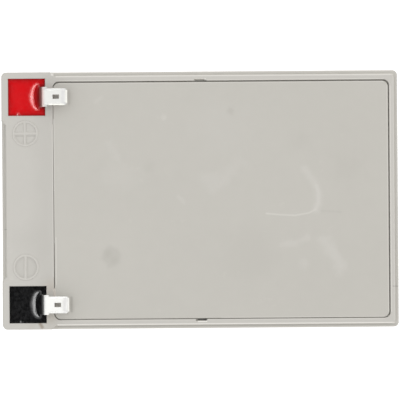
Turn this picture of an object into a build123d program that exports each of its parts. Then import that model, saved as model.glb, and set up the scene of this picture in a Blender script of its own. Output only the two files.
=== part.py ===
from build123d import *
import os

os.makedirs("parts", exist_ok=True)

# Millimetres. The origin is the middle of the underside, +X runs away from the terminal end,
# +Y is the side of the positive terminal and +Z is up.

# Case
case_length = 151.0
case_width = 98.0
case_height = 95.0
case_corner_radius = 1.9
case_wall = 2.5
partition_wall = 1.6
floor_thickness = 3.0
cells_per_row = 3
base_edge_bevel = 0.8
base_rim_width = 6.0
base_recess_depth = 0.6
base_recess_radius = 3.0
gate_radius = 2.5
gate_depth = 0.4
rest_height = 1.0
rest_width = 1.6
rest_side_gap = 9.0
wall_clearance = 0.1

# Joint between container and lid
lid_height = 11.0
seam_bevel = 0.3
outer_rebate = 0.9
inner_rebate = 0.4
tongue_height = 1.5
groove_clearance = 0.1

# Lid
shoulder_width = 1.5
shoulder_drop = 3.0
shoulder_edge_radius = 0.7
platform_corner_radius = 1.8
platform_edge_bevel = 0.35
deck_thickness = 2.5
strip_wall = 2.0
boss_wall = 2.0
boss_ramp = 1.6
well_inset_x = 2.6
well_inset_y = 2.45
well_floor_thickness = 3.0

# Vent recess and its cover
recess_frame_side = 3.65
recess_frame_end = 3.3
recess_to_well = 2.95
recess_corner_radius = 2.3
recess_depth = 9.5
recess_floor_thickness = 2.0
rim_edge_bevel = 0.2
ledge_width = 1.2
pry_slot_width = 3.8
pry_slot_depth = 0.7
pry_slot_drop = 1.4
cover_thickness = 2.0
cover_gap_left_back = 0.08
cover_gap_left_front = 0.26
cover_gap_right = 0.45
cover_gap_front = 0.2
cover_gap_back = 0.48
cover_edge_bevel = 0.2
cover_rib_width = 1.4
cover_rib_height = 1.2
cover_rib_clearance = 0.3
pad_size = 7.0
pad_height = 0.6
pad_clearance = 0.2

# Vent chimneys and valve caps
chimney_radius = 4.6
chimney_wall = 2.0
cap_wall = 1.5
cap_roof = 1.5
cap_clearance = 0.1
cap_floor_gap = 0.9
vent_side_gap = 2.5

# Ribs under the lid that hold the partitions
groove_rib_width = 1.2
groove_rib_height = 2.5
glue_gap = 0.2

# Plates, straps and links
positive_plate_count = 5
positive_plate_thickness = 3.2
negative_plate_thickness = 2.2
stack_clearance = 0.25
plate_side_clearance = 1.8
separator_overhang = 0.8
separator_above = 1.5
lug_width = 8.0
lug_height = 4.0
lug_inset = 7.0
strap_width = 11.0
strap_thickness = 4.0
strap_end_inset = 1.0
strap_edge_bevel = 0.8
link_width = 9.0
link_thickness = 4.0
link_bearing_length = 4.0
link_clearance = 1.0
link_edge_bevel = 0.8
notch_clearance = 0.3

# Terminal posts
post_radius = 3.0
post_clearance = 0.1
post_head_overhang = 1.2
post_head_height = 1.3

# Blade terminals
blade_width = 6.35
blade_length = 7.8
blade_thickness = 0.8
blade_rise = 5.5
blade_tip_cut = 0.85
blade_coin_width = 0.8
blade_coin_depth = 0.15
blade_slot_length = 2.5
blade_slot_width = 1.65
blade_slot_to_tip = 4.35
tab_shoulder_width = 7.5
tab_shoulder_length = 2.85
tab_bend_radius = 0.8
tab_eye_width = 1.9
positive_tab_to_wall = 1.2
negative_tab_to_wall = 1.0
foot_clearance = 2.05

# Potting resin
resin_drop = 0.7

# Heights
seam_z = case_height - lid_height
shoulder_z = case_height - shoulder_drop
deck_underside_z = case_height - deck_thickness
ledge_z = case_height - cover_thickness
recess_floor_z = case_height - recess_depth
lid_underside_z = recess_floor_z - recess_floor_thickness
well_floor_z = lid_underside_z + well_floor_thickness
groove_rib_z = lid_underside_z - groove_rib_height
partition_top_z = lid_underside_z - glue_gap
link_top_z = groove_rib_z - link_clearance
strap_top_z = link_top_z - link_thickness
strap_bottom_z = strap_top_z - strap_thickness
plate_top_z = strap_bottom_z - lug_height
plate_bottom_z = floor_thickness + rest_height
foot_top_z = well_floor_z + blade_thickness
blade_top_z = case_height + blade_rise
resin_top_z = case_height - resin_drop

# Cells, in the order of the series circuit: out along the back row, home along the front row
inner_length = case_length - 2 * case_wall
inner_width = case_width - 2 * case_wall
cell_length = (inner_length - (cells_per_row - 1) * partition_wall) / cells_per_row
cell_width = (inner_width - partition_wall) / 2
cell_pitch = cell_length + partition_wall
row_y = (cell_width + partition_wall) / 2
column_xs = [(i - (cells_per_row - 1) / 2) * cell_pitch for i in range(cells_per_row)]
partition_xs = [x + cell_pitch / 2 for x in column_xs[:-1]]
cell_centres = [(x, row_y) for x in column_xs] + [(x, -row_y) for x in reversed(column_xs)]

# Plate stack of one cell
negative_plate_count = positive_plate_count + 1
separator_count = 2 * positive_plate_count
plate_width = cell_length - 2 * plate_side_clearance
plate_height = plate_top_z - plate_bottom_z
stack_depth = cell_width - 2 * stack_clearance
positive_depth = positive_plate_count * positive_plate_thickness
negative_depth = negative_plate_count * negative_plate_thickness
separator_thickness = (stack_depth - positive_depth - negative_depth) / separator_count
plate_pitch = positive_plate_thickness + negative_plate_thickness + 2 * separator_thickness
lug_offset = plate_width / 2 - lug_inset
strap_length = stack_depth - 2 * strap_end_inset

# Wells, bosses and recess in plan
hole_radius = post_radius + post_clearance
eye_radius = hole_radius + tab_eye_width
well_size = 2 * (eye_radius + foot_clearance)
well_x = -case_length / 2 + well_inset_x + well_size / 2
well_y = case_width / 2 - well_inset_y - well_size / 2
well_right_x = well_x + well_size / 2
boss_length = well_inset_x + well_size + boss_wall
boss_width = well_inset_y + well_size + boss_wall
recess_left_x = well_right_x + recess_to_well
recess_right_x = case_length / 2 - recess_frame_end
recess_length = recess_right_x - recess_left_x
recess_width = case_width - 2 * recess_frame_side
recess_x = (recess_left_x + recess_right_x) / 2
cover_right_x = recess_right_x - cover_gap_right
cover_back_y = recess_width / 2 - cover_gap_back
cover_front_y = cover_gap_front - recess_width / 2
chamber_length = recess_length - 2 * ledge_width
chamber_width = recess_width - 2 * ledge_width
chamber_corner_radius = recess_corner_radius - ledge_width

# Vents over the cells, with the first column moved along to stay inside the chamber
chimney_bore_radius = chimney_radius - chimney_wall
cap_radius = chimney_radius + cap_clearance + cap_wall
vent_first_x = recess_left_x + ledge_width + vent_side_gap + cap_radius
vent_pitch = (column_xs[-1] - vent_first_x) / (cells_per_row - 1)
vent_xs = [vent_first_x + i * vent_pitch for i in range(cells_per_row)]
vent_centres = [(x, row_y) for x in vent_xs] + [(x, -row_y) for x in reversed(vent_xs)]
chimney_top_z = ledge_z - pad_height - pad_clearance - cap_roof

# Links between neighbouring cells: centre, length along the circuit and direction
notch_width = link_width + 2 * notch_clearance
notch_z = strap_top_z - notch_clearance
side_link_length = cell_pitch - 2 * lug_offset - strap_width + 2 * link_bearing_length
end_link_length = 2 * row_y - strap_length + 2 * link_bearing_length
end_link_x = column_xs[-1] + lug_offset
side_links = [(x, row_y) for x in partition_xs]
side_links_home = [(x, -row_y) for x in reversed(partition_xs)]


def save(piece, name):
    """Label a finished piece and write it as one STEP file."""
    piece.label = name
    export_step(piece, f"parts/{name}.step")


def side_plane(x, y):
    """A plane facing the front, with its own Z up, through a point in plan."""
    return Plane(origin=(x, y, 0), x_dir=(1, 0, 0), z_dir=(0, -1, 0))


# Container: six cells with plate rests, notched partitions and the thin rim for the lid
with BuildPart() as container:
    with BuildSketch():
        RectangleRounded(case_length, case_width, case_corner_radius)
    extrude(amount=seam_z)
    chamfer(container.faces().sort_by(Axis.Z)[-1].edges(), seam_bevel)
    chamfer(container.faces().sort_by(Axis.Z)[0].edges(), base_edge_bevel)

    with BuildSketch(Plane.XY.offset(seam_z)):
        RectangleRounded(
            case_length - 2 * outer_rebate,
            case_width - 2 * outer_rebate,
            case_corner_radius - outer_rebate,
        )
        Rectangle(
            inner_length + 2 * inner_rebate,
            inner_width + 2 * inner_rebate,
            mode=Mode.SUBTRACT,
        )
    extrude(amount=tongue_height)

    with BuildSketch(Plane.XY.offset(floor_thickness)):
        Rectangle(inner_length, inner_width)
    extrude(amount=seam_z - floor_thickness, mode=Mode.SUBTRACT)

    with BuildSketch(Plane.XY.offset(floor_thickness)):
        Rectangle(inner_length, partition_wall)
        with Locations([(x, 0) for x in partition_xs]):
            Rectangle(partition_wall, inner_width)
    extrude(amount=partition_top_z - floor_thickness)

    with BuildSketch(Plane.XY.offset(notch_z)):
        with Locations(side_links + side_links_home):
            Rectangle(partition_wall, notch_width)
        with Locations((end_link_x, 0)):
            Rectangle(notch_width, partition_wall)
    extrude(amount=partition_top_z - notch_z, mode=Mode.SUBTRACT)

    rest_offset = cell_length / 2 - rest_side_gap
    with BuildSketch(Plane.XY.offset(floor_thickness)):
        with Locations([(x + side * rest_offset, 0) for x in column_xs for side in (-1, 1)]):
            Rectangle(rest_width, inner_width)
    extrude(amount=rest_height)

    with BuildSketch():
        RectangleRounded(
            case_length - 2 * base_rim_width,
            case_width - 2 * base_rim_width,
            base_recess_radius,
        )
    extrude(amount=base_recess_depth, mode=Mode.SUBTRACT)
    with BuildSketch(Plane.XY.offset(base_recess_depth)):
        with Locations([(x, 0) for x in partition_xs]):
            Circle(gate_radius)
    extrude(amount=gate_depth, mode=Mode.SUBTRACT)
save(container.part, "container")


# Lid: skirt with its groove, platform inside the shoulder, corner bosses, wells and recess
plug_length = inner_length - 2 * wall_clearance
plug_width = inner_width - 2 * wall_clearance
with BuildPart() as lid:
    with BuildSketch(Plane.XY.offset(seam_z)):
        RectangleRounded(case_length, case_width, case_corner_radius)
        Rectangle(plug_length, plug_width, mode=Mode.SUBTRACT)
    extrude(amount=shoulder_z - seam_z)
    chamfer(lid.faces().sort_by(Axis.Z)[0].outer_wire().edges(), seam_bevel)
    fillet(lid.faces().sort_by(Axis.Z)[-1].outer_wire().edges(), shoulder_edge_radius)

    with BuildSketch(Plane.XY.offset(lid_underside_z)):
        Rectangle(plug_length, plug_width)
    extrude(amount=shoulder_z - lid_underside_z)
    with BuildSketch(Plane.XY.offset(shoulder_z)):
        RectangleRounded(
            case_length - 2 * shoulder_width,
            case_width - 2 * shoulder_width,
            platform_corner_radius,
        )
    extrude(amount=shoulder_drop)

    # Corner bosses, flush with the outer faces, whose ends run back to the platform on a slant
    boss_bottom_z = shoulder_z - shoulder_edge_radius
    left_x = -case_length / 2
    back_y = case_width / 2
    with BuildSketch(Plane.XY.offset(boss_bottom_z)) as bosses:
        with BuildLine():
            FilletPolyline(
                (left_x, back_y),
                (left_x + boss_length, back_y),
                (left_x + boss_length + boss_ramp, back_y - shoulder_width),
                (left_x + shoulder_width, back_y - boss_width - boss_ramp),
                (left_x, back_y - boss_width),
                radius=[case_corner_radius, 0, 0, 0, 0],
                close=True,
            )
        make_face()
        mirror(about=Plane.XZ)
    extrude(amount=case_height - boss_bottom_z)

    # Hollows under the terminal strip, one for each end cell
    hollow_left_x = -plug_length / 2 + strip_wall
    hollow_right_x = recess_left_x - strip_wall
    hollow_near_y = partition_wall / 2 + wall_clearance + groove_rib_width
    hollow_far_y = case_width / 2 - boss_width
    with BuildSketch(Plane.XY.offset(lid_underside_z)):
        hollow_x = (hollow_left_x + hollow_right_x) / 2
        hollow_y = (hollow_near_y + hollow_far_y) / 2
        with Locations((hollow_x, hollow_y), (hollow_x, -hollow_y)):
            Rectangle(hollow_right_x - hollow_left_x, hollow_far_y - hollow_near_y)
    extrude(amount=deck_underside_z - lid_underside_z, mode=Mode.SUBTRACT)

    # Groove for the rim of the container
    with BuildSketch(Plane.XY.offset(seam_z)):
        RectangleRounded(
            case_length - 2 * outer_rebate + 2 * groove_clearance,
            case_width - 2 * outer_rebate + 2 * groove_clearance,
            case_corner_radius - outer_rebate + groove_clearance,
        )
        Rectangle(
            inner_length + 2 * inner_rebate - 2 * groove_clearance,
            inner_width + 2 * inner_rebate - 2 * groove_clearance,
            mode=Mode.SUBTRACT,
        )
    extrude(amount=tongue_height + groove_clearance, mode=Mode.SUBTRACT)

    # Paired ribs that take the top edges of the partitions
    slot_width = partition_wall + 2 * wall_clearance
    rib_pair_width = slot_width + 2 * groove_rib_width
    with BuildSketch(Plane.XY.offset(groove_rib_z)):
        Rectangle(plug_length, rib_pair_width)
        with Locations([(x, 0) for x in partition_xs]):
            Rectangle(rib_pair_width, plug_width)
        Rectangle(plug_length, slot_width, mode=Mode.SUBTRACT)
        with Locations([(x, 0) for x in partition_xs]):
            Rectangle(slot_width, plug_width, mode=Mode.SUBTRACT)
    extrude(amount=groove_rib_height)

    # Recess for the cover, the vent chamber below its ledge and the two pry slots
    with BuildSketch(Plane.XY.offset(ledge_z)):
        with Locations((recess_x, 0)):
            RectangleRounded(recess_length, recess_width, recess_corner_radius)
    extrude(amount=cover_thickness, mode=Mode.SUBTRACT)
    with BuildSketch(Plane.XY.offset(recess_floor_z)):
        with Locations((recess_x, 0)):
            RectangleRounded(chamber_length, chamber_width, chamber_corner_radius)
    extrude(amount=ledge_z - recess_floor_z, mode=Mode.SUBTRACT)
    with BuildSketch(Plane.XY.offset(case_height - pry_slot_drop)):
        Rectangle(pry_slot_width, recess_width + 2 * pry_slot_depth)
        Rectangle(pry_slot_width, recess_width, mode=Mode.SUBTRACT)
    extrude(amount=pry_slot_drop, mode=Mode.SUBTRACT)

    # Terminal wells with the holes for the posts
    with BuildSketch(Plane.XY.offset(well_floor_z)):
        with Locations((well_x, well_y), (well_x, -well_y)):
            Rectangle(well_size, well_size)
    extrude(amount=case_height - well_floor_z, mode=Mode.SUBTRACT)
    with BuildSketch(Plane.XY.offset(lid_underside_z)):
        with Locations((well_x, well_y), (well_x, -well_y)):
            Circle(hole_radius)
    extrude(amount=well_floor_thickness, mode=Mode.SUBTRACT)

    # Broken top edges
    top_face = lid.faces().sort_by(Axis.Z)[-1]
    chamfer(top_face.outer_wire().edges(), platform_edge_bevel)
    top_face = lid.faces().sort_by(Axis.Z)[-1]
    chamfer([edge for wire in top_face.inner_wires() for edge in wire.edges()], rim_edge_bevel)

    # Vent chimneys, one over each cell
    with BuildSketch(Plane.XY.offset(recess_floor_z)):
        with Locations(vent_centres):
            Circle(chimney_radius)
    extrude(amount=chimney_top_z - recess_floor_z)
    with BuildSketch(Plane.XY.offset(lid_underside_z)):
        with Locations(vent_centres):
            Circle(chimney_bore_radius)
    extrude(amount=chimney_top_z - lid_underside_z, mode=Mode.SUBTRACT)
save(lid.part, "lid")


# Vent cover: a flush plate, pushed towards the terminal end and the front of its recess, with
# a locating rib and a pad over each valve cap
with BuildPart() as vent_cover:
    with BuildSketch(Plane.XY.offset(ledge_z)):
        with BuildLine():
            FilletPolyline(
                (cover_right_x, cover_back_y),
                (recess_left_x + cover_gap_left_back, cover_back_y),
                (recess_left_x + cover_gap_left_front, cover_front_y),
                (cover_right_x, cover_front_y),
                radius=recess_corner_radius,
                close=True,
            )
        make_face()
    extrude(amount=cover_thickness)
    chamfer(vent_cover.faces().sort_by(Axis.Z)[-1].edges(), cover_edge_bevel)

    rib_length = chamber_length - 2 * cover_rib_clearance
    rib_width = chamber_width - 2 * cover_rib_clearance
    rib_corner_radius = chamber_corner_radius - cover_rib_clearance
    with BuildSketch(Plane.XY.offset(ledge_z - cover_rib_height)):
        with Locations((recess_x, 0)):
            RectangleRounded(rib_length, rib_width, rib_corner_radius)
            Rectangle(
                rib_length - 2 * cover_rib_width,
                rib_width - 2 * cover_rib_width,
                mode=Mode.SUBTRACT,
            )
    extrude(amount=cover_rib_height)
    with BuildSketch(Plane.XY.offset(ledge_z - pad_height)):
        with Locations(vent_centres):
            Rectangle(pad_size, pad_size)
    extrude(amount=pad_height)
save(vent_cover.part, "vent_cover")


def build_valve_cap(centre):
    """A rubber cap that sits on a chimney and covers its side."""
    with BuildPart() as cap:
        with BuildSketch(Plane.XY.offset(recess_floor_z + cap_floor_gap)):
            with Locations(centre):
                Circle(cap_radius)
        extrude(amount=chimney_top_z + cap_roof - recess_floor_z - cap_floor_gap)
        with BuildSketch(Plane.XY.offset(recess_floor_z + cap_floor_gap)):
            with Locations(centre):
                Circle(chimney_radius + cap_clearance)
        extrude(amount=chimney_top_z - recess_floor_z - cap_floor_gap, mode=Mode.SUBTRACT)
    return cap.part


for number, centre in enumerate(vent_centres, start=1):
    save(build_valve_cap(centre), f"valve_cap_{number}")


def build_plate_group(centre, side, count, thickness):
    """Plates of one polarity in one cell, hung by their lugs from a cast strap."""
    x, y = centre
    first_y = y - (count - 1) * plate_pitch / 2
    planes = [side_plane(x, first_y + i * plate_pitch) for i in range(count)]
    with BuildPart() as group:
        with BuildSketch(*planes):
            with Locations((0, plate_bottom_z + plate_height / 2)):
                Rectangle(plate_width, plate_height)
            with Locations((side * lug_offset, (plate_top_z + strap_bottom_z) / 2)):
                Rectangle(lug_width, lug_height)
        extrude(amount=thickness / 2, both=True)
        with BuildSketch(Plane.XY.offset(strap_bottom_z)):
            with Locations((x + side * lug_offset, y)):
                Rectangle(strap_width, strap_length)
        extrude(amount=strap_thickness)
        chamfer(group.faces().sort_by(Axis.Z)[-1].edges(), strap_edge_bevel)
    return group.part


def build_separators(centre):
    """Glass mat sheets of one cell, one on each side of every positive plate."""
    x, y = centre
    height = plate_height + separator_above
    first_y = y - (positive_plate_count - 1) * plate_pitch / 2
    plate_ys = [first_y + i * plate_pitch for i in range(positive_plate_count)]
    to_sheet = (positive_plate_thickness + separator_thickness) / 2
    planes = [side_plane(x, plate_y + side * to_sheet) for plate_y in plate_ys for side in (-1, 1)]
    with BuildPart() as sheets:
        with BuildSketch(*planes):
            with Locations((0, plate_bottom_z + height / 2)):
                Rectangle(plate_width + 2 * separator_overhang, height)
        extrude(amount=separator_thickness / 2, both=True)
    return sheets.part


# Cell groups. The positive side is towards the terminal end in the back row and away from it
# in the front row, so that the links run straight across the partitions
for number, centre in enumerate(cell_centres, start=1):
    side = -1 if number <= cells_per_row else 1
    positives = build_plate_group(
        centre, side, positive_plate_count, positive_plate_thickness
    )
    negatives = build_plate_group(
        centre, -side, negative_plate_count, negative_plate_thickness
    )
    save(positives, f"positive_plates_{number}")
    save(negatives, f"negative_plates_{number}")
    save(build_separators(centre), f"separators_{number}")


def build_link(centre, length_x, length_y):
    """A lead bar that lies on two straps and passes through a notch in a partition."""
    with BuildPart() as link:
        with BuildSketch(Plane.XY.offset(strap_top_z)):
            with Locations(centre):
                Rectangle(length_x, length_y)
        extrude(amount=link_thickness)
        chamfer(link.faces().sort_by(Axis.Z)[-1].edges(), link_edge_bevel)
    return link.part


links = [build_link(centre, side_link_length, link_width) for centre in side_links]
links.append(build_link((end_link_x, 0), link_width, end_link_length))
links += [build_link(centre, side_link_length, link_width) for centre in side_links_home]
for number, link in enumerate(links, start=1):
    save(link, f"cell_link_{number}")


def build_post(y):
    """A lead post from the end strap through the lid, with its head over the blade's foot."""
    with BuildPart() as post:
        with BuildSketch(Plane.XY.offset(strap_top_z)):
            with Locations((well_x, y)):
                Circle(post_radius)
        extrude(amount=foot_top_z - strap_top_z)
        with BuildSketch(Plane.XY.offset(foot_top_z)):
            with Locations((well_x, y)):
                Circle(post_radius + post_head_overhang)
        extrude(amount=post_head_height)
    return post.part


def build_tab(y, to_wall):
    """A blade terminal: strip bent up from its foot in the well and over the lid."""
    riser_x = well_right_x - to_wall - blade_thickness / 2
    shoulder_x = riser_x - blade_thickness / 2 + tab_shoulder_length
    tip_x = shoulder_x + blade_length
    half = blade_thickness / 2
    with BuildPart() as tab:
        with BuildSketch(side_plane(0, y)):
            with BuildLine():
                FilletPolyline(
                    (well_x - eye_radius, well_floor_z + half),
                    (riser_x, well_floor_z + half),
                    (riser_x, blade_top_z - half),
                    (tip_x, blade_top_z - half),
                    radius=tab_bend_radius + half,
                )
            trace(line_width=blade_thickness)
        extrude(amount=eye_radius, both=True)

        with BuildSketch():
            with Locations((well_x, y)):
                Circle(eye_radius)
            with Locations(((well_x + shoulder_x) / 2, y)):
                Rectangle(shoulder_x - well_x, tab_shoulder_width)
            with BuildLine():
                Polyline(
                    (well_x, y - blade_width / 2),
                    (tip_x - blade_tip_cut, y - blade_width / 2),
                    (tip_x, y - blade_width / 2 + blade_tip_cut),
                    (tip_x, y + blade_width / 2 - blade_tip_cut),
                    (tip_x - blade_tip_cut, y + blade_width / 2),
                    (well_x, y + blade_width / 2),
                    close=True,
                )
            make_face()
            with Locations((well_x, y)):
                Circle(hole_radius, mode=Mode.SUBTRACT)
            with Locations((tip_x - blade_slot_to_tip, y)):
                Rectangle(blade_slot_length, blade_slot_width, mode=Mode.SUBTRACT)
        extrude(amount=blade_top_z, mode=Mode.INTERSECT)

        # Coined edges that let the push-on connector start
        blade_faces = tab.faces().filter_by(Axis.Z).sort_by(Axis.Z)
        for face in (blade_faces[-1], blade_faces[-2]):
            rim = face.outer_wire().edges()
            coined = rim.filter_by_position(Axis.X, shoulder_x, tip_x, inclusive=(False, True))
            chamfer(coined, blade_coin_width, blade_coin_depth, reference=face)
    return tab.part


def build_resin(y, tab, post):
    """Potting resin that fills a well around the post head and the blade's riser."""
    with BuildPart() as resin:
        with BuildSketch(Plane.XY.offset(well_floor_z)):
            with Locations((well_x, y)):
                Rectangle(well_size, well_size)
        extrude(amount=resin_top_z - well_floor_z)
        with BuildSketch(Plane.XY.offset(well_floor_z)):
            with Locations((well_x, y)):
                Circle(hole_radius)
        extrude(amount=blade_thickness, mode=Mode.SUBTRACT)
        add(tab, mode=Mode.SUBTRACT)
        add(post, mode=Mode.SUBTRACT)
    return resin.part


for polarity, y, to_wall in (
    ("positive", well_y, positive_tab_to_wall),
    ("negative", -well_y, negative_tab_to_wall),
):
    post = build_post(y)
    tab = build_tab(y, to_wall)
    save(build_resin(y, tab, post), f"{polarity}_resin")
    save(post, f"{polarity}_post")
    save(tab, f"{polarity}_tab")
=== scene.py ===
"""Looks of a sealed lead acid battery, dressed over its fixed frame and seen from above.

Sizes that belong to the object are written in millimetres and turned into metres where they
are used. Colours are written from 0 to 255, as they show on a screen.
"""

import logging
import math
from dataclasses import dataclass, field
from enum import Enum
from functools import cached_property

import bmesh
import bpy
import numpy as np
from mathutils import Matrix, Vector


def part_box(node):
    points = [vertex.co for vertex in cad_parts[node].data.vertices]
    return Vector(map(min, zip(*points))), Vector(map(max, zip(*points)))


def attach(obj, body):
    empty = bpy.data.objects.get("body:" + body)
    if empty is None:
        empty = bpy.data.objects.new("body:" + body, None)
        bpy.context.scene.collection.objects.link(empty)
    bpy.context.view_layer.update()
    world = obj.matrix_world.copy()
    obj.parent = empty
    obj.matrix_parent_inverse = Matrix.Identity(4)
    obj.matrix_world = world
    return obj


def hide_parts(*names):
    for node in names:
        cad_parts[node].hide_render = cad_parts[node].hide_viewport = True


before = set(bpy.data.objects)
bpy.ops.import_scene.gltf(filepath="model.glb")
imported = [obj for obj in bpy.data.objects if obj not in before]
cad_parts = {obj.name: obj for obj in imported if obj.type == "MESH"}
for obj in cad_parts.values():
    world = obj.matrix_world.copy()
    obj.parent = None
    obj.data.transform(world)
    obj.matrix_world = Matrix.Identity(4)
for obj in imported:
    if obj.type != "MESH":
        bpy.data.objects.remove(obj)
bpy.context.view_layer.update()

LOG = logging.getLogger("battery")
MM = 0.001
Point = tuple[float, float]
Place = tuple[float, float, float]
Colour = tuple[float, float, float]
Socket = bpy.types.NodeSocket
Value = Socket | float | tuple[float, ...]
Sockets = dict[str, Socket]


def linear(colour: Colour) -> tuple[float, float, float, float]:
    """Turn a screen colour into the linear values that shaders take, by the sRGB curve.

    Args:
        colour: Red, green and blue from 0 to 255.

    Returns:
        The linear colour, opaque.
    """
    parts = [value / 255 for value in colour]
    low = [part / 12.92 for part in parts]
    high = [((part + 0.055) / 1.055) ** 2.4 for part in parts]
    chosen = [a if part <= 0.04045 else b for part, a, b in zip(parts, low, high)]
    return (*chosen, 1.0)


def warm(red: int) -> Colour:
    """Give the warm grey of the plastic that has this much red."""
    return (red, red - 3, red - 10)


def in_plan(point: Point, height: float = 0.0) -> Place:
    """Turn a point seen from above, in millimetres, into a place at a height in metres."""
    return (point[0] * MM, point[1] * MM, height)


class SocketKind(Enum):
    """The kinds of socket that the node groups have."""

    NUMBER = "NodeSocketFloat"
    VECTOR = "NodeSocketVector"
    GEOMETRY = "NodeSocketGeometry"
    MATERIAL = "NodeSocketMaterial"


class NodeSheet:
    """Short calls that add nodes to one tree and join them."""

    def __init__(self, tree: bpy.types.NodeTree) -> None:
        """Work on one tree."""
        self.tree = tree

    def add(self, kind: str, **settings: object) -> bpy.types.Node:
        """Add a node.

        Args:
            kind: The node's type name.
            **settings: Plain settings of the node.

        Returns:
            The new node.
        """
        node = self.tree.nodes.new(kind)
        for name, value in settings.items():
            setattr(node, name, value)
        return node

    def feed(self, socket: Socket, value: Value) -> None:
        """Join a socket to another one, or give it a plain value.

        Args:
            socket: The input to feed.
            value: An output socket or a plain value.
        """
        if isinstance(value, Socket):
            self.tree.links.new(value, socket)
        else:
            socket.default_value = value

    def fill(self, kind: str, output: str, **given: Value) -> Socket:
        """Add a node and feed the inputs that are named.

        Args:
            kind: The node's type name.
            output: The output to give back.
            **given: What the inputs get, by their names in small letters, with a low line
                for each space.

        Returns:
            The output.
        """
        node = self.add(kind)
        for name, value in given.items():
            self.feed(node.inputs[name.replace("_", " ").title()], value)
        return node.outputs[output]

    def math(self, operation: str, first: Value, second: Value = 0.0) -> Socket:
        """Add a sum, product or other step on numbers.

        Args:
            operation: The step's name.
            first: The first number.
            second: The second number, where the step takes one.

        Returns:
            The result.
        """
        node = self.add("ShaderNodeMath", operation=operation)
        self.feed(node.inputs[0], first)
        self.feed(node.inputs[1], second)
        return node.outputs[0]

    def vector(self, operation: str, first: Value, second: Value) -> Socket:
        """Add a step on two vectors.

        Args:
            operation: The step's name.
            first: The first vector.
            second: The second vector.

        Returns:
            The result, a number for a distance or dot product and else a vector.
        """
        node = self.add("ShaderNodeVectorMath", operation=operation)
        self.feed(node.inputs[0], first)
        self.feed(node.inputs[1], second)
        return node.outputs["Value" if operation in ("DISTANCE", "DOT_PRODUCT") else "Vector"]

    def scale(self, vector: Value, factor: Value) -> Socket:
        """Multiply a vector by a number.

        Args:
            vector: The vector.
            factor: The number.

        Returns:
            The scaled vector.
        """
        node = self.add("ShaderNodeVectorMath", operation="SCALE")
        self.feed(node.inputs[0], vector)
        self.feed(node.inputs["Scale"], factor)
        return node.outputs["Vector"]

    def shrink(self, vector: Value, size: Value) -> Socket:
        """Divide a vector by a size, which becomes one unit."""
        return self.scale(vector, self.math("DIVIDE", 1.0, size))

    def axis(self, vector: Value, name: str) -> Socket:
        """Give the X, Y or Z part of a vector."""
        return self.fill("ShaderNodeSeparateXYZ", name, vector=vector)

    def noise(self, vector: Value, detail: float = 2.0, rough: float = 0.5) -> Socket:
        """Add smooth noise with features about one unit wide.

        Args:
            vector: Where the noise is read.
            detail: How many finer layers it has.
            rough: How strong the finer layers are.

        Returns:
            The noise, from 0 to 1.
        """
        node = self.add("ShaderNodeTexNoise")
        self.feed(node.inputs["Vector"], vector)
        node.inputs["Scale"].default_value = 1.0
        node.inputs["Detail"].default_value = detail
        node.inputs["Roughness"].default_value = rough
        return node.outputs[0]

    def ramp(self, value: Value, spans: tuple[Value, Value, Value, Value]) -> Socket:
        """Turn one span of numbers smoothly into another.

        Args:
            value: The number to turn.
            spans: Where the span starts and ends, and what it gives there.

        Returns:
            The turned number, which stays inside the second span.
        """
        node = self.add("ShaderNodeMapRange", interpolation_type="SMOOTHSTEP")
        self.feed(node.inputs["Value"], value)
        for name, limit in zip(("From Min", "From Max", "To Min", "To Max"), spans):
            self.feed(node.inputs[name], limit)
        return node.outputs["Result"]

    def blend(self, share: Value, first: Value, second: Value, how: str = "MIX") -> Socket:
        """Blend two colours.

        Args:
            share: How much of the second colour shows.
            first: The first colour.
            second: The second colour.
            how: The name of the way to blend.

        Returns:
            The blended colour.
        """
        node = self.add("ShaderNodeMix", data_type="RGBA", blend_type=how)
        by_id = {socket.identifier: socket for socket in node.inputs}
        self.feed(by_id["Factor_Float"], share)
        self.feed(by_id["A_Color"], first)
        self.feed(by_id["B_Color"], second)
        return next(socket for socket in node.outputs if socket.identifier == "Result_Color")

    def tint(self, colour: Value, tint: Value) -> Socket:
        """Multiply a colour by a number."""
        return self.blend(1.0, colour, tint, "MULTIPLY")

    def effect(self, tree: bpy.types.ShaderNodeTree, **given: Value) -> Socket:
        """Place a shared effect.

        Args:
            tree: The effect's node group.
            **given: What its inputs get, by their names in small letters.

        Returns:
            The effect's only output.
        """
        node = self.add("ShaderNodeGroup", node_tree=tree)
        for name, value in given.items():
            self.feed(node.inputs[name.capitalize()], value)
        return node.outputs[0]

    def close(self, result: Socket) -> bpy.types.NodeTree:
        """Give a group its only result, and give back the finished group."""
        self.feed(self.add("NodeGroupOutput").inputs[0], result)
        return self.tree


def open_group(
    name: str,
    family: str,
    output: tuple[str, SocketKind],
    inputs: dict[SocketKind, tuple[str, ...]],
) -> tuple[NodeSheet, Sockets]:
    """Start a node group with named inputs and one output.

    Args:
        name: The group's name.
        family: Its type name.
        output: The name and kind of its output.
        inputs: The names of its inputs, by their kinds.

    Returns:
        The group's sheet, and its inputs by name.
    """
    tree = bpy.data.node_groups.new(name, family)
    for kind, titles in inputs.items():
        for title in titles:
            tree.interface.new_socket(name=title, in_out="INPUT", socket_type=kind.value)
    tree.interface.new_socket(name=output[0], in_out="OUTPUT", socket_type=output[1].value)
    sheet = NodeSheet(tree)
    source = sheet.add("NodeGroupInput")
    return sheet, {socket.name: socket for socket in source.outputs if socket.name}


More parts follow.
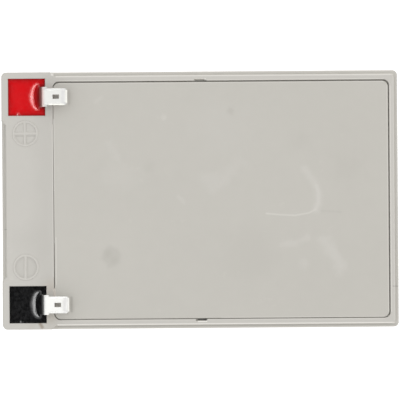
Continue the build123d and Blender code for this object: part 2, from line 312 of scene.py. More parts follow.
class Effects:
    """The shader node groups that several finishes share, each built once.

    Attributes:
        noise_middle: The middle of what noise gives.
        line_bias: How far the noise has to rise before it eats into a line.
        fleck_span: The noise at which a rubbed fleck starts, and at which it is full.
        patch_scale: How fine the rubbed patches are beside the flecks.
        patch_blur: How softly a rubbed patch ends.
    """

    noise_middle = 0.5
    line_bias = 0.45
    fleck_span = (0.56, 0.68)
    patch_scale = 0.35
    patch_blur = 0.2

    def _open(
        self, name: str, vectors: tuple[str, ...], numbers: tuple[str, ...], output: str
    ) -> tuple[NodeSheet, Sockets]:
        """Start a shader group.

        Args:
            name: The group's name.
            vectors: Its inputs that are vectors.
            numbers: Its inputs that are numbers.
            output: The name of its output, a number.

        Returns:
            The group's sheet, and its inputs by name.
        """
        inputs = {SocketKind.VECTOR: vectors, SocketKind.NUMBER: numbers}
        return open_group(name, "ShaderNodeTree", (output, SocketKind.NUMBER), inputs)

    @cached_property
    def mottle(self) -> bpy.types.ShaderNodeTree:
        """Uneven pigment: a tint near 1 that drifts over the surface."""
        sheet, given = self._open("Uneven pigment", ("Vector",), ("Size", "Depth"), "Tint")
        noise = sheet.noise(sheet.shrink(given["Vector"], given["Size"]), detail=3.0)
        swing = sheet.math("SUBTRACT", noise, self.noise_middle)
        drift = sheet.math("MULTIPLY", swing, given["Depth"])
        return sheet.close(sheet.math("ADD", drift, 1.0))

    @cached_property
    def grain(self) -> bpy.types.ShaderNodeTree:
        """Fine grain of a moulded, cast or pasted face: a height in metres."""
        sheet, given = self._open("Surface grain", ("Vector",), ("Size", "Depth"), "Height")
        noise = sheet.noise(sheet.shrink(given["Vector"], given["Size"]), detail=2.0, rough=0.6)
        return sheet.close(sheet.math("MULTIPLY", noise, given["Depth"]))

    @cached_property
    def round_mark(self) -> bpy.types.ShaderNodeTree:
        """A round patch seen from above, with a slightly ragged rim: 1 inside, 0 outside."""
        numbers = ("Radius", "Softness", "Ragged")
        sheet, given = self._open("Round mark", ("Vector", "Centre"), numbers, "Mask")
        flat = sheet.vector("MULTIPLY", given["Vector"], (1, 1, 0))
        away = sheet.vector("DISTANCE", flat, given["Centre"])
        noise = sheet.noise(sheet.shrink(given["Vector"], given["Radius"]))
        swing = sheet.math("SUBTRACT", noise, self.noise_middle)
        wobble = sheet.math("MULTIPLY", swing, given["Ragged"])
        reach = sheet.math("ADD", away, sheet.math("MULTIPLY", wobble, given["Radius"]))
        inner = sheet.math("SUBTRACT", given["Radius"], given["Softness"])
        outer = sheet.math("ADD", given["Radius"], given["Softness"])
        return sheet.close(sheet.ramp(reach, (inner, outer, 1.0, 0.0)))

    @cached_property
    def line_mark(self) -> bpy.types.ShaderNodeTree:
        """A straight stroke seen from above: 1 on its line, 0 past its width, or uneven."""
        vectors = ("Vector", "Start", "End")
        sheet, given = self._open("Line mark", vectors, ("Width", "Ragged"), "Mask")
        flat = sheet.vector("MULTIPLY", given["Vector"], (1, 1, 0))
        along = sheet.vector("SUBTRACT", given["End"], given["Start"])
        offset = sheet.vector("SUBTRACT", flat, given["Start"])
        reach = sheet.vector("DOT_PRODUCT", offset, along)
        whole = sheet.vector("DOT_PRODUCT", along, along)
        share = sheet.math("DIVIDE", reach, whole)
        share = sheet.math("MINIMUM", sheet.math("MAXIMUM", share, 0.0), 1.0)
        away = sheet.vector("DISTANCE", offset, sheet.scale(along, share))
        noise = sheet.noise(sheet.shrink(given["Vector"], given["Width"]), detail=3.0, rough=0.6)
        swing = sheet.math("SUBTRACT", noise, self.line_bias)
        wobble = sheet.math("MULTIPLY", swing, given["Ragged"])
        away = sheet.math("ADD", away, sheet.math("MULTIPLY", wobble, given["Width"]))
        return sheet.close(sheet.ramp(away, (0.0, given["Width"], 1.0, 0.0)))

    @cached_property
    def scuffs(self) -> bpy.types.ShaderNodeTree:
        """Fine rubbed flecks in loose patches, as handling leaves: a mask from 0 to 1."""
        vectors = ("Vector", "Stretch")
        sheet, given = self._open("Handling scuffs", vectors, ("Size", "Cover"), "Mask")
        place = sheet.shrink(given["Vector"], given["Size"])
        drawn = sheet.vector("MULTIPLY", place, given["Stretch"])
        flecks = sheet.ramp(sheet.noise(drawn, detail=4.0, rough=0.7), (*self.fleck_span, 0.0, 1.0))
        patches = sheet.noise(sheet.scale(place, self.patch_scale))
        edge = sheet.math("SUBTRACT", 1.0, given["Cover"])
        top = sheet.math("ADD", edge, self.patch_blur)
        return sheet.close(
            sheet.math("MULTIPLY", flecks, sheet.ramp(patches, (edge, top, 0.0, 1.0)))
        )


EFFECTS = Effects()


@dataclass(frozen=True)
class Spot:
    """A round stain, or a round patch of painted highlight or painted shade, seen from above.

    Attributes:
        centre: Its middle in plan, in millimetres.
        radius: Its radius in millimetres.
        softness: Half the width of its blurred rim, in millimetres.
        colour: Its colour.
        strength: How much of that colour shows.
        ragged: How uneven its rim is.
    """

    centre: Point
    radius: float
    softness: float
    colour: Colour
    strength: float
    ragged: float = 0.5

    def mask(self, sheet: NodeSheet, place: Value) -> Value:
        """Give the spot's mask.

        Args:
            sheet: The material's sheet.
            place: Object coordinates.

        Returns:
            The mask, 1 inside the spot.
        """
        return sheet.effect(
            EFFECTS.round_mark,
            vector=place,
            centre=in_plan(self.centre),
            radius=self.radius * MM,
            softness=self.softness * MM,
            ragged=self.ragged,
        )


@dataclass(frozen=True)
class Stroke:
    """A stroke of one or more straight lines seen from above: a scratch, nick or smear, or a line
    of painted highlight or painted shadow.

    Attributes:
        points: Its points in plan, in millimetres.
        width: How far it reaches each side of its line, in millimetres.
        colour: Its colour.
        strength: How much of that colour shows.
        ragged: How uneven it is.
    """

    points: tuple[Point, ...]
    width: float
    colour: Colour
    strength: float
    ragged: float = 0.0

    def mask(self, sheet: NodeSheet, place: Value) -> Value:
        """Give the stroke's mask.

        Args:
            sheet: The material's sheet.
            place: Object coordinates.

        Returns:
            The mask, 1 on the lines.
        """
        result: Value = 0.0
        for start, end in zip(self.points, self.points[1:]):
            line = sheet.effect(
                EFFECTS.line_mark,
                vector=place,
                start=in_plan(start),
                end=in_plan(end),
                width=self.width * MM,
                ragged=self.ragged,
            )
            result = sheet.math("MAXIMUM", result, line)
        return result


Mark = Spot | Stroke


class FinishSheet(NodeSheet):
    """The node sheet of one new material, with its shader and object coordinates."""

    def __init__(self, name: str) -> None:
        """Make a material with a Principled shader and nothing else."""
        self.material = bpy.data.materials.new(name)
        self.material.use_nodes = True
        super().__init__(self.material.node_tree)
        self.tree.nodes.clear()
        self.shader = self.add("ShaderNodeBsdfPrincipled")
        output = self.add("ShaderNodeOutputMaterial")
        self.feed(output.inputs["Surface"], self.shader.outputs["BSDF"])
        self.place = self.add("ShaderNodeTexCoord").outputs["Object"]

    def look(self, colour: Value, roughness: Value) -> None:
        """Give the shader its colour and how matt it is."""
        self.feed(self.shader.inputs["Base Color"], colour)
        self.feed(self.shader.inputs["Roughness"], roughness)

    def drift(self, place: Value, size: float, depth: float) -> Socket:
        """Give a tint near 1 that drifts over patches of a size in millimetres."""
        return self.effect(EFFECTS.mottle, vector=place, size=size * MM, depth=depth)

    def lay_marks(self, colour: Value, marks: tuple[Mark, ...]) -> Value:
        """Lay marks over a colour: stains, scratches and nicks, and painted highlights and painted
        shade.

        Args:
            colour: The colour below.
            marks: The marks, the lowest first.

        Returns:
            The colour with its marks.
        """
        for mark in marks:
            share = self.math("MULTIPLY", mark.mask(self, self.place), mark.strength)
            colour = self.blend(share, colour, linear(mark.colour))
        return colour

    def grain(self, place: Value, size: float, depth: float) -> None:
        """Turn the shared grain into the shader's normal.

        Args:
            place: Where the grain is read.
            size: Width of the grain, in millimetres.
            depth: Height of the grain, in millimetres.
        """
        height = self.effect(EFFECTS.grain, vector=place, size=size * MM, depth=depth * MM)
        normal = self.fill("ShaderNodeBump", "Normal", strength=1.0, distance=1.0, height=height)
        self.feed(self.shader.inputs["Normal"], normal)


@dataclass(frozen=True)
class MouldedPlastic:
    """Grey moulded plastic with a fine grain, slightly uneven and handled.

    Attributes:
        name: The material's name.
        colour: The plastic's colour.
        roughness: How matt it is.
        grain_size: Width of the grain, in millimetres.
        grain_depth: Height of the grain, in millimetres.
        mottle: How far the colour drifts.
        scuffed: How much of the face is rubbed.
        marks: Stains, scratches and nicks, and painted highlights and painted shade along edges,
            seams and raised signs.
        marked_from: Heights over which the marks fade in, in millimetres.
        broad_size: Width of the broad drifts of colour, in millimetres.
        close_size: Width of the close ones, in millimetres.
        close_share: How strong the close ones are beside the broad ones.
        scuff_size: Width of the rubbed flecks, in millimetres.
        scuff_stretch: How the flecks are drawn out along each axis.
        scuff_pale: How much paler a fleck is.
        scuff_strength: How much of that shows.
        scuff_shine: How much less matt a fleck is.
    """

    name: str
    colour: Colour
    roughness: float = 0.46
    grain_size: float = 0.35
    grain_depth: float = 0.004
    mottle: float = 0.05
    scuffed: float = 0.5
    marks: tuple[Mark, ...] = ()
    marked_from: Point = (-2.0, -1.0)
    broad_size: float = 34.0
    close_size: float = 5.0
    close_share: float = 0.7
    scuff_size: float = 5.0
    scuff_stretch: Place = (1.0, 1.5, 1.0)
    scuff_pale: float = 1.04
    scuff_strength: float = 0.4
    scuff_shine: float = 0.12

    def build(self) -> bpy.types.Material:
        """Build the material.

        Returns:
            The new material.
        """
        sheet = FinishSheet(self.name)
        broad = sheet.drift(sheet.place, self.broad_size, self.mottle)
        close = sheet.drift(sheet.place, self.close_size, self.mottle * self.close_share)
        scuffs = sheet.effect(
            EFFECTS.scuffs,
            vector=sheet.place,
            stretch=self.scuff_stretch,
            size=self.scuff_size * MM,
            cover=self.scuffed,
        )
        colour = sheet.tint(linear(self.colour), sheet.math("MULTIPLY", broad, close))
        pale = linear(tuple(min(part * self.scuff_pale, 255) for part in self.colour))
        colour = sheet.blend(sheet.math("MULTIPLY", scuffs, self.scuff_strength), colour, pale)
        low, high = self.marked_from
        reach = sheet.ramp(sheet.axis(sheet.place, "Z"), (low * MM, high * MM, 0.0, 1.0))
        colour = sheet.blend(reach, colour, sheet.lay_marks(colour, self.marks))
        uneven = sheet.math("MULTIPLY", close, self.roughness)
        rubbed = sheet.math("MULTIPLY", scuffs, self.scuff_shine)
        sheet.look(colour, sheet.math("SUBTRACT", uneven, rubbed))
        sheet.grain(sheet.place, self.grain_size, self.grain_depth)
        return sheet.material


@dataclass(frozen=True)
class PottingResin:
    """Coloured epoxy as it was poured: glossy, faintly streaked and lightly dusted.

    Attributes:
        name: The material's name.
        colour: The resin's colour.
        streak: How far the pigment drifts.
        streak_size: Width of the drifts, in millimetres.
        roughness: How matt it is.
        index: Its index of refraction.
        wave_size: Width of the uneven skin, in millimetres.
        wave_depth: Height of the uneven skin, in millimetres.
        dust_size: Width of the dusty flecks, in millimetres.
        dust_span: The drift at which a fleck starts, and at which it is full.
        dust_colour: The dust's colour.
        dusting: How much of that colour shows.
        shade_name: The mesh attribute that holds the painted shade of the resin.
    """

    name: str
    colour: Colour
    streak: float = 0.15
    streak_size: float = 2.2
    roughness: float = 0.15
    index: float = 1.58
    wave_size: float = 1.6
    wave_depth: float = 0.0025
    dust_size: float = 1.1
    dust_span: Point = (0.9, 1.2)
    dust_colour: Colour = (96, 96, 98)
    dusting: float = 0.03
    shade_name: str = "shade"

    def build(self) -> bpy.types.Material:
        """Build the material.

        Returns:
            The new material.
        """
        sheet = FinishSheet(self.name)
        sheet.shader.inputs["IOR"].default_value = self.index
        streaks = sheet.drift(sheet.place, self.streak_size, self.streak)
        shade = sheet.add("ShaderNodeAttribute", attribute_name=self.shade_name).outputs["Fac"]
        colour = sheet.tint(linear(self.colour), sheet.math("MULTIPLY", streaks, shade))
        dust = sheet.drift(sheet.place, self.dust_size, 1.0)
        flecks = sheet.ramp(dust, (*self.dust_span, 0.0, self.dusting))
        colour = sheet.blend(flecks, colour, linear(self.dust_colour))
        sheet.look(colour, sheet.math("MULTIPLY", dust, self.roughness))
        sheet.grain(sheet.place, self.wave_size, self.wave_depth)
        return sheet.material


@dataclass(frozen=True)
class TinnedStrip:
    """Rolled brass strip with a satin tin plate.

    Attributes:
        name: The material's name.
        colour: The plate's colour.
        painted_bend_reflection: The colour painted on the riser and its bend, a painted reflection
            of the resin beside them and painted shade.
        dull_from: Where the bend starts along X, in millimetres.
        marks: Darker bands before the tip, and painted highlights along the tip and edges.
        bend_width: Width of the bend from there, in millimetres.
        roughness: How matt the plate is.
        dull_roughness: How matt it is on the riser and its bend.
        edge_turn: How far a face turns sideways where the cut edges start, which stay bright.
        stain_size: Width of the drifts of colour, in millimetres.
        stain: How far the colour drifts.
        line_size: Width of the rolling lines, in millimetres.
        line_depth: Their height, in millimetres.
        line_stretch: How the lines are drawn out along each axis.
    """

    name: str
    colour: Colour
    painted_bend_reflection: Colour
    dull_from: float
    marks: tuple[Mark, ...] = ()
    bend_width: float = 2.6
    roughness: float = 0.5
    dull_roughness: float = 0.6
    edge_turn: Point = (0.6, 0.85)
    stain_size: float = 1.4
    stain: float = 0.08
    line_size: float = 0.25
    line_depth: float = 0.0012
    line_stretch: Place = (0.05, 1.0, 0.05)

    def build(self) -> bpy.types.Material:
        """Build the material.

        Returns:
            The new material.
        """
        sheet = FinishSheet(self.name)
        sheet.shader.inputs["Metallic"].default_value = 1.0
        stain = sheet.drift(sheet.place, self.stain_size, self.stain)
        along = sheet.axis(sheet.place, "X")
        bend = (self.dull_from * MM, (self.dull_from + self.bend_width) * MM)
        bent = sheet.ramp(along, (*bend, 1.0, 0.0))
        normal = sheet.add("ShaderNodeNewGeometry").outputs["Normal"]
        sideways = sheet.math("ABSOLUTE", sheet.axis(normal, "Y"))
        faced = sheet.ramp(sideways, (*self.edge_turn, 1.0, 0.0))
        colour = sheet.lay_marks(linear(self.colour), self.marks)
        # Paint the riser and bend with a colour that stands for their reflection of the resin and
        # for shade, leaving the cut edges out.
        colour = sheet.blend(sheet.math("MULTIPLY", bent, faced), colour, linear(self.painted_bend_reflection))
        rough = sheet.ramp(along, (*bend, self.dull_roughness, self.roughness))
        sheet.look(sheet.tint(colour, stain), sheet.math("MULTIPLY", stain, rough))
        drawn = sheet.vector("MULTIPLY", sheet.place, self.line_stretch)
        sheet.grain(drawn, self.line_size, self.line_depth)
        return sheet.material


@dataclass(frozen=True)
class GrainedSolid:
    """A matt rubber, cast lead, pasted or fibrous face.

    Attributes:
        name: The material's name.
        colour: Its colour.
        roughness: How matt it is.
        metallic: 1 for bare metal and 0 for the rest.
        grain_size: Width of the grain, in millimetres.
        grain_depth: Height of the grain, in millimetres.
        mottle: How far the colour drifts.
        mottle_size: Width of the drifts, in millimetres.
        stretch: How the grain is drawn out along each axis.
    """

    name: str
    colour: Colour
    roughness: float
    metallic: float = 0.0
    grain_size: float = 0.5
    grain_depth: float = 0.02
    mottle: float = 0.25
    mottle_size: float = 4.0
    stretch: Place = (1.0, 1.0, 1.0)

    def build(self) -> bpy.types.Material:
        """Build the material.

        Returns:
            The new material.
        """
        sheet = FinishSheet(self.name)
        sheet.shader.inputs["Metallic"].default_value = self.metallic
        drawn = sheet.vector("MULTIPLY", sheet.place, self.stretch)
        mottle = sheet.drift(drawn, self.mottle_size, self.mottle)
        sheet.look(
            sheet.tint(linear(self.colour), mottle), sheet.math("MULTIPLY", mottle, self.roughness)
        )
        sheet.grain(drawn, self.grain_size, self.grain_depth)
        return sheet.material


def dress(nodes: list[str], material: bpy.types.Material) -> None:
    """Give CAD nodes a finish.

    Args:
        nodes: The nodes' names.
        material: Their finish.
    """
    for name in nodes:
        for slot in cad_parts[name].material_slots:
            slot.material = material
        LOG.info("%s: %s", name, material.name)


def named(start: str) -> list[str]:
    """List the CAD nodes whose names start in one way."""
    return sorted(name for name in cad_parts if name.startswith(start))


def put(name: str, data: bpy.types.ID) -> bpy.types.Object:
    """Put a new object into the scene.

    Args:
        name: Its name.
        data: Its mesh, lamp data or camera data.

    Returns:
        The new object.
    """
    thing = bpy.data.objects.new(name, data)
    bpy.context.scene.collection.objects.link(thing)
    return thing


@dataclass
class PhotoCamera:
    """The camera of the photograph, straight above the lid.

    Attributes:
        frame_pixels: Width of the photograph.
        focal_pixels: Distance to the picture plane, in pixels.
        centre_pixels: Where the middle of the object lies in the photograph.
        height: Height of the lens over the floor, in millimetres.
        lid_height: Height of the lid's top, in millimetres.
        turn: How far the object is turned in the photograph, in degrees.
        sensor: Width of the sensor, in millimetres.
    """

    frame_pixels: float = 400.0
    focal_pixels: float = 3690.0
    centre_pixels: Point = (200.2, 199.75)
    height: float = 1500.0
    lid_height: float = 95.0
    turn: float = 0.42
    sensor: float = 36.0

    def build(self) -> None:
        """Make the camera and choose it for the render."""
        data = bpy.data.cameras.new("photo_camera")
        data.sensor_width = self.sensor
        data.lens = self.sensor * self.focal_pixels / self.frame_pixels
        scale = (self.height - self.lid_height) / self.focal_pixels
        middle = self.frame_pixels / 2
        camera = put("photo_camera", data)
        camera.location = (
            (middle - self.centre_pixels[0]) * scale * MM,
            (self.centre_pixels[1] - middle) * scale * MM,
            self.height * MM,
        )
        camera.rotation_euler = (0.0, 0.0, -math.radians(self.turn))
        bpy.context.scene.camera = camera
        LOG.info("camera: lens %.1f", data.lens)


@dataclass(frozen=True)
class Softbox:
    """A rectangular studio lamp that faces the object.

    Attributes:
        name: The lamp's name.
        place: Its middle, in metres.
        size: Its side that lies level, and its other side, in metres.
        radiance: How bright its face is, where 1 shows as white.
        only_glints: Whether it shows in glossy faces alone and lights nothing else.
        aim: The point that it faces, in metres.
    """

    name: str
    place: Place
    size: Point
    radiance: float
    only_glints: bool = False
    aim: Place = (0.0, 0.0, 0.09)

    def build(self) -> None:
        """Make the lamp."""
        data = bpy.data.lights.new(self.name, "AREA")
        data.shape = "RECTANGLE"
        data.size, data.size_y = self.size
        data.energy = self.radiance * math.pi * self.size[0] * self.size[1]
        lamp = put(self.name, data)
        lamp.location = self.place
        ray = Vector(self.aim) - Vector(self.place)
        lamp.rotation_euler = ray.to_track_quat("-Z", "Y").to_euler()
        lamp.visible_camera = False
        lamp.visible_diffuse = not self.only_glints
        LOG.info("lamp: %s", self.name)


@dataclass
class Studio:
    """Pale floor, soft light all round, a window, and cards that shape the glints.

    Attributes:
        floor_reach: How far the floor goes from the middle, in metres.
        floor_colour: The floor's colour.
        floor_glow: What brings the floor up to white where it is seen.
        floor_grain: Width of the floor's fine grain, in millimetres.
        floor_tints: The faintest and strongest tint of that grain.
        floor_roughness: How matt the floor is.
        card_colour: The colour of the dark cards.
        card_grain: Width of their fine grain, in millimetres.
        card_roughness: How matt they are.
        sky_strength: Strength of the light all round.
        cards: Lowest and highest corner of each dark card, in metres.
        lamps: The lamps.
    """

    floor_reach: float = 3.0
    floor_colour: Colour = (240.0, 240.0, 239.0)
    floor_glow: float = 0.6
    floor_grain: float = 4.0
    floor_tints: Point = (0.99, 1.01)
    floor_roughness: float = 0.9
    card_colour: Colour = (9.0, 9.0, 9.0)
    card_grain: float = 2.0
    card_roughness: float = 0.95
    sky_strength: float = 0.88
    cards: tuple[tuple[Place, Place], ...] = (
        ((-0.42, -0.36, 1.75), (0.13, 0.36, 1.75)),
        ((-0.9, -1.6, 0.002), (-0.9, 1.6, 1.88)),
    )
    lamps: tuple[Softbox, ...] = (
        Softbox("glint_strip", (-0.51, 0.0, 1.3), (2.2, 0.2), 7.5, only_glints=True),
        Softbox("glint_tail", (-0.32, 0.0, 1.3), (2.2, 0.16), 0.8, only_glints=True),
        Softbox("window", (0.5, 0.6, 1.3), (0.9, 0.9), 0.65),
    )

    def _quad(self, name: str, low: Place, high: Place) -> bpy.types.Object:
        """Make a flat card.

        Args:
            name: The object's name.
            low: Its lowest corner, in metres.
            high: Its highest corner, level with the lowest one or straight above it.

        Returns:
            The new object.
        """
        if low[2] == high[2]:
            corners = [low, (high[0], low[1], low[2]), high, (low[0], high[1], low[2])]
        else:
            corners = [low, (low[0], high[1], low[2]), high, (high[0], low[1], high[2])]
        mesh = bpy.data.meshes.new(name)
        mesh.from_pydata(corners, [], [(0, 1, 2, 3)])
        card = put(name, mesh)
        return card

    def _seen(self, sheet: NodeSheet) -> Socket:
        """Give 1 for the camera's own rays and for mirrored and passing ones, else 0.

        Args:
            sheet: The sheet of the material or sky.

        Returns:
            The number.
        """
        rays = sheet.add("ShaderNodeLightPath").outputs
        direct = sheet.math("MAXIMUM", rays["Is Camera Ray"], rays["Is Glossy Ray"])
        return sheet.math("MAXIMUM", direct, rays["Is Transmission Ray"])

    def build(self) -> None:
        """Make the floor, the cards, the sky and the lamps."""
        self.build_floor()
        self.build_cards()
        self.build_sky()
        for lamp in self.lamps:
            lamp.build()

    def build_floor(self) -> None:
        """Make the floor, which shows white and keeps the object's shadow."""
        reach = self.floor_reach
        floor = self._quad("floor", (-reach, -reach, 0.0), (reach, reach, 0.0))
        sheet = FinishSheet("studio_floor")
        grain = sheet.noise(sheet.shrink(sheet.place, self.floor_grain * MM))
        tint = sheet.ramp(grain, (0.0, 1.0, *self.floor_tints))
        sheet.look(sheet.tint(linear(self.floor_colour), tint), self.floor_roughness)
        sheet.shader.inputs["Emission Color"].default_value = (1.0, 1.0, 1.0, 1.0)
        glow = sheet.math("MULTIPLY", self._seen(sheet), self.floor_glow)
        sheet.feed(sheet.shader.inputs["Emission Strength"], glow)
        floor.data.materials.append(sheet.material)
        LOG.info("stage: floor")

    def build_cards(self) -> None:
        """Make the dark cards, which show in glossy faces alone and cast no shade."""
        sheet = FinishSheet("dark_card")
        grain = sheet.noise(sheet.shrink(sheet.place, self.card_grain * MM))
        sheet.look(sheet.tint(linear(self.card_colour), grain), self.card_roughness)
        for number, (low, high) in enumerate(self.cards, start=1):
            card = self._quad(f"dark_card_{number}", low, high)
            card.visible_camera = False
            card.visible_diffuse = False
            card.visible_shadow = False
            card.data.materials.append(sheet.material)
            LOG.info("stage: %s", card.name)

    def build_sky(self) -> None:
        """Make the soft light all round, which shows white to the camera."""
        world = bpy.data.worlds.new("studio_sky")
        world.use_nodes = True
        sheet = NodeSheet(world.node_tree)
        sheet.tree.nodes.clear()
        sky = sheet.add("ShaderNodeBackground")
        sky.inputs["Color"].default_value = (1.0, 1.0, 1.0, 1.0)
        strength = sheet.ramp(self._seen(sheet), (0.0, 1.0, self.sky_strength, 1.0))
        sheet.feed(sky.inputs["Strength"], strength)
        output = sheet.add("ShaderNodeOutputWorld")
        sheet.feed(output.inputs["Surface"], sky.outputs["Background"])
        bpy.context.scene.world = world
        LOG.info("stage: sky")


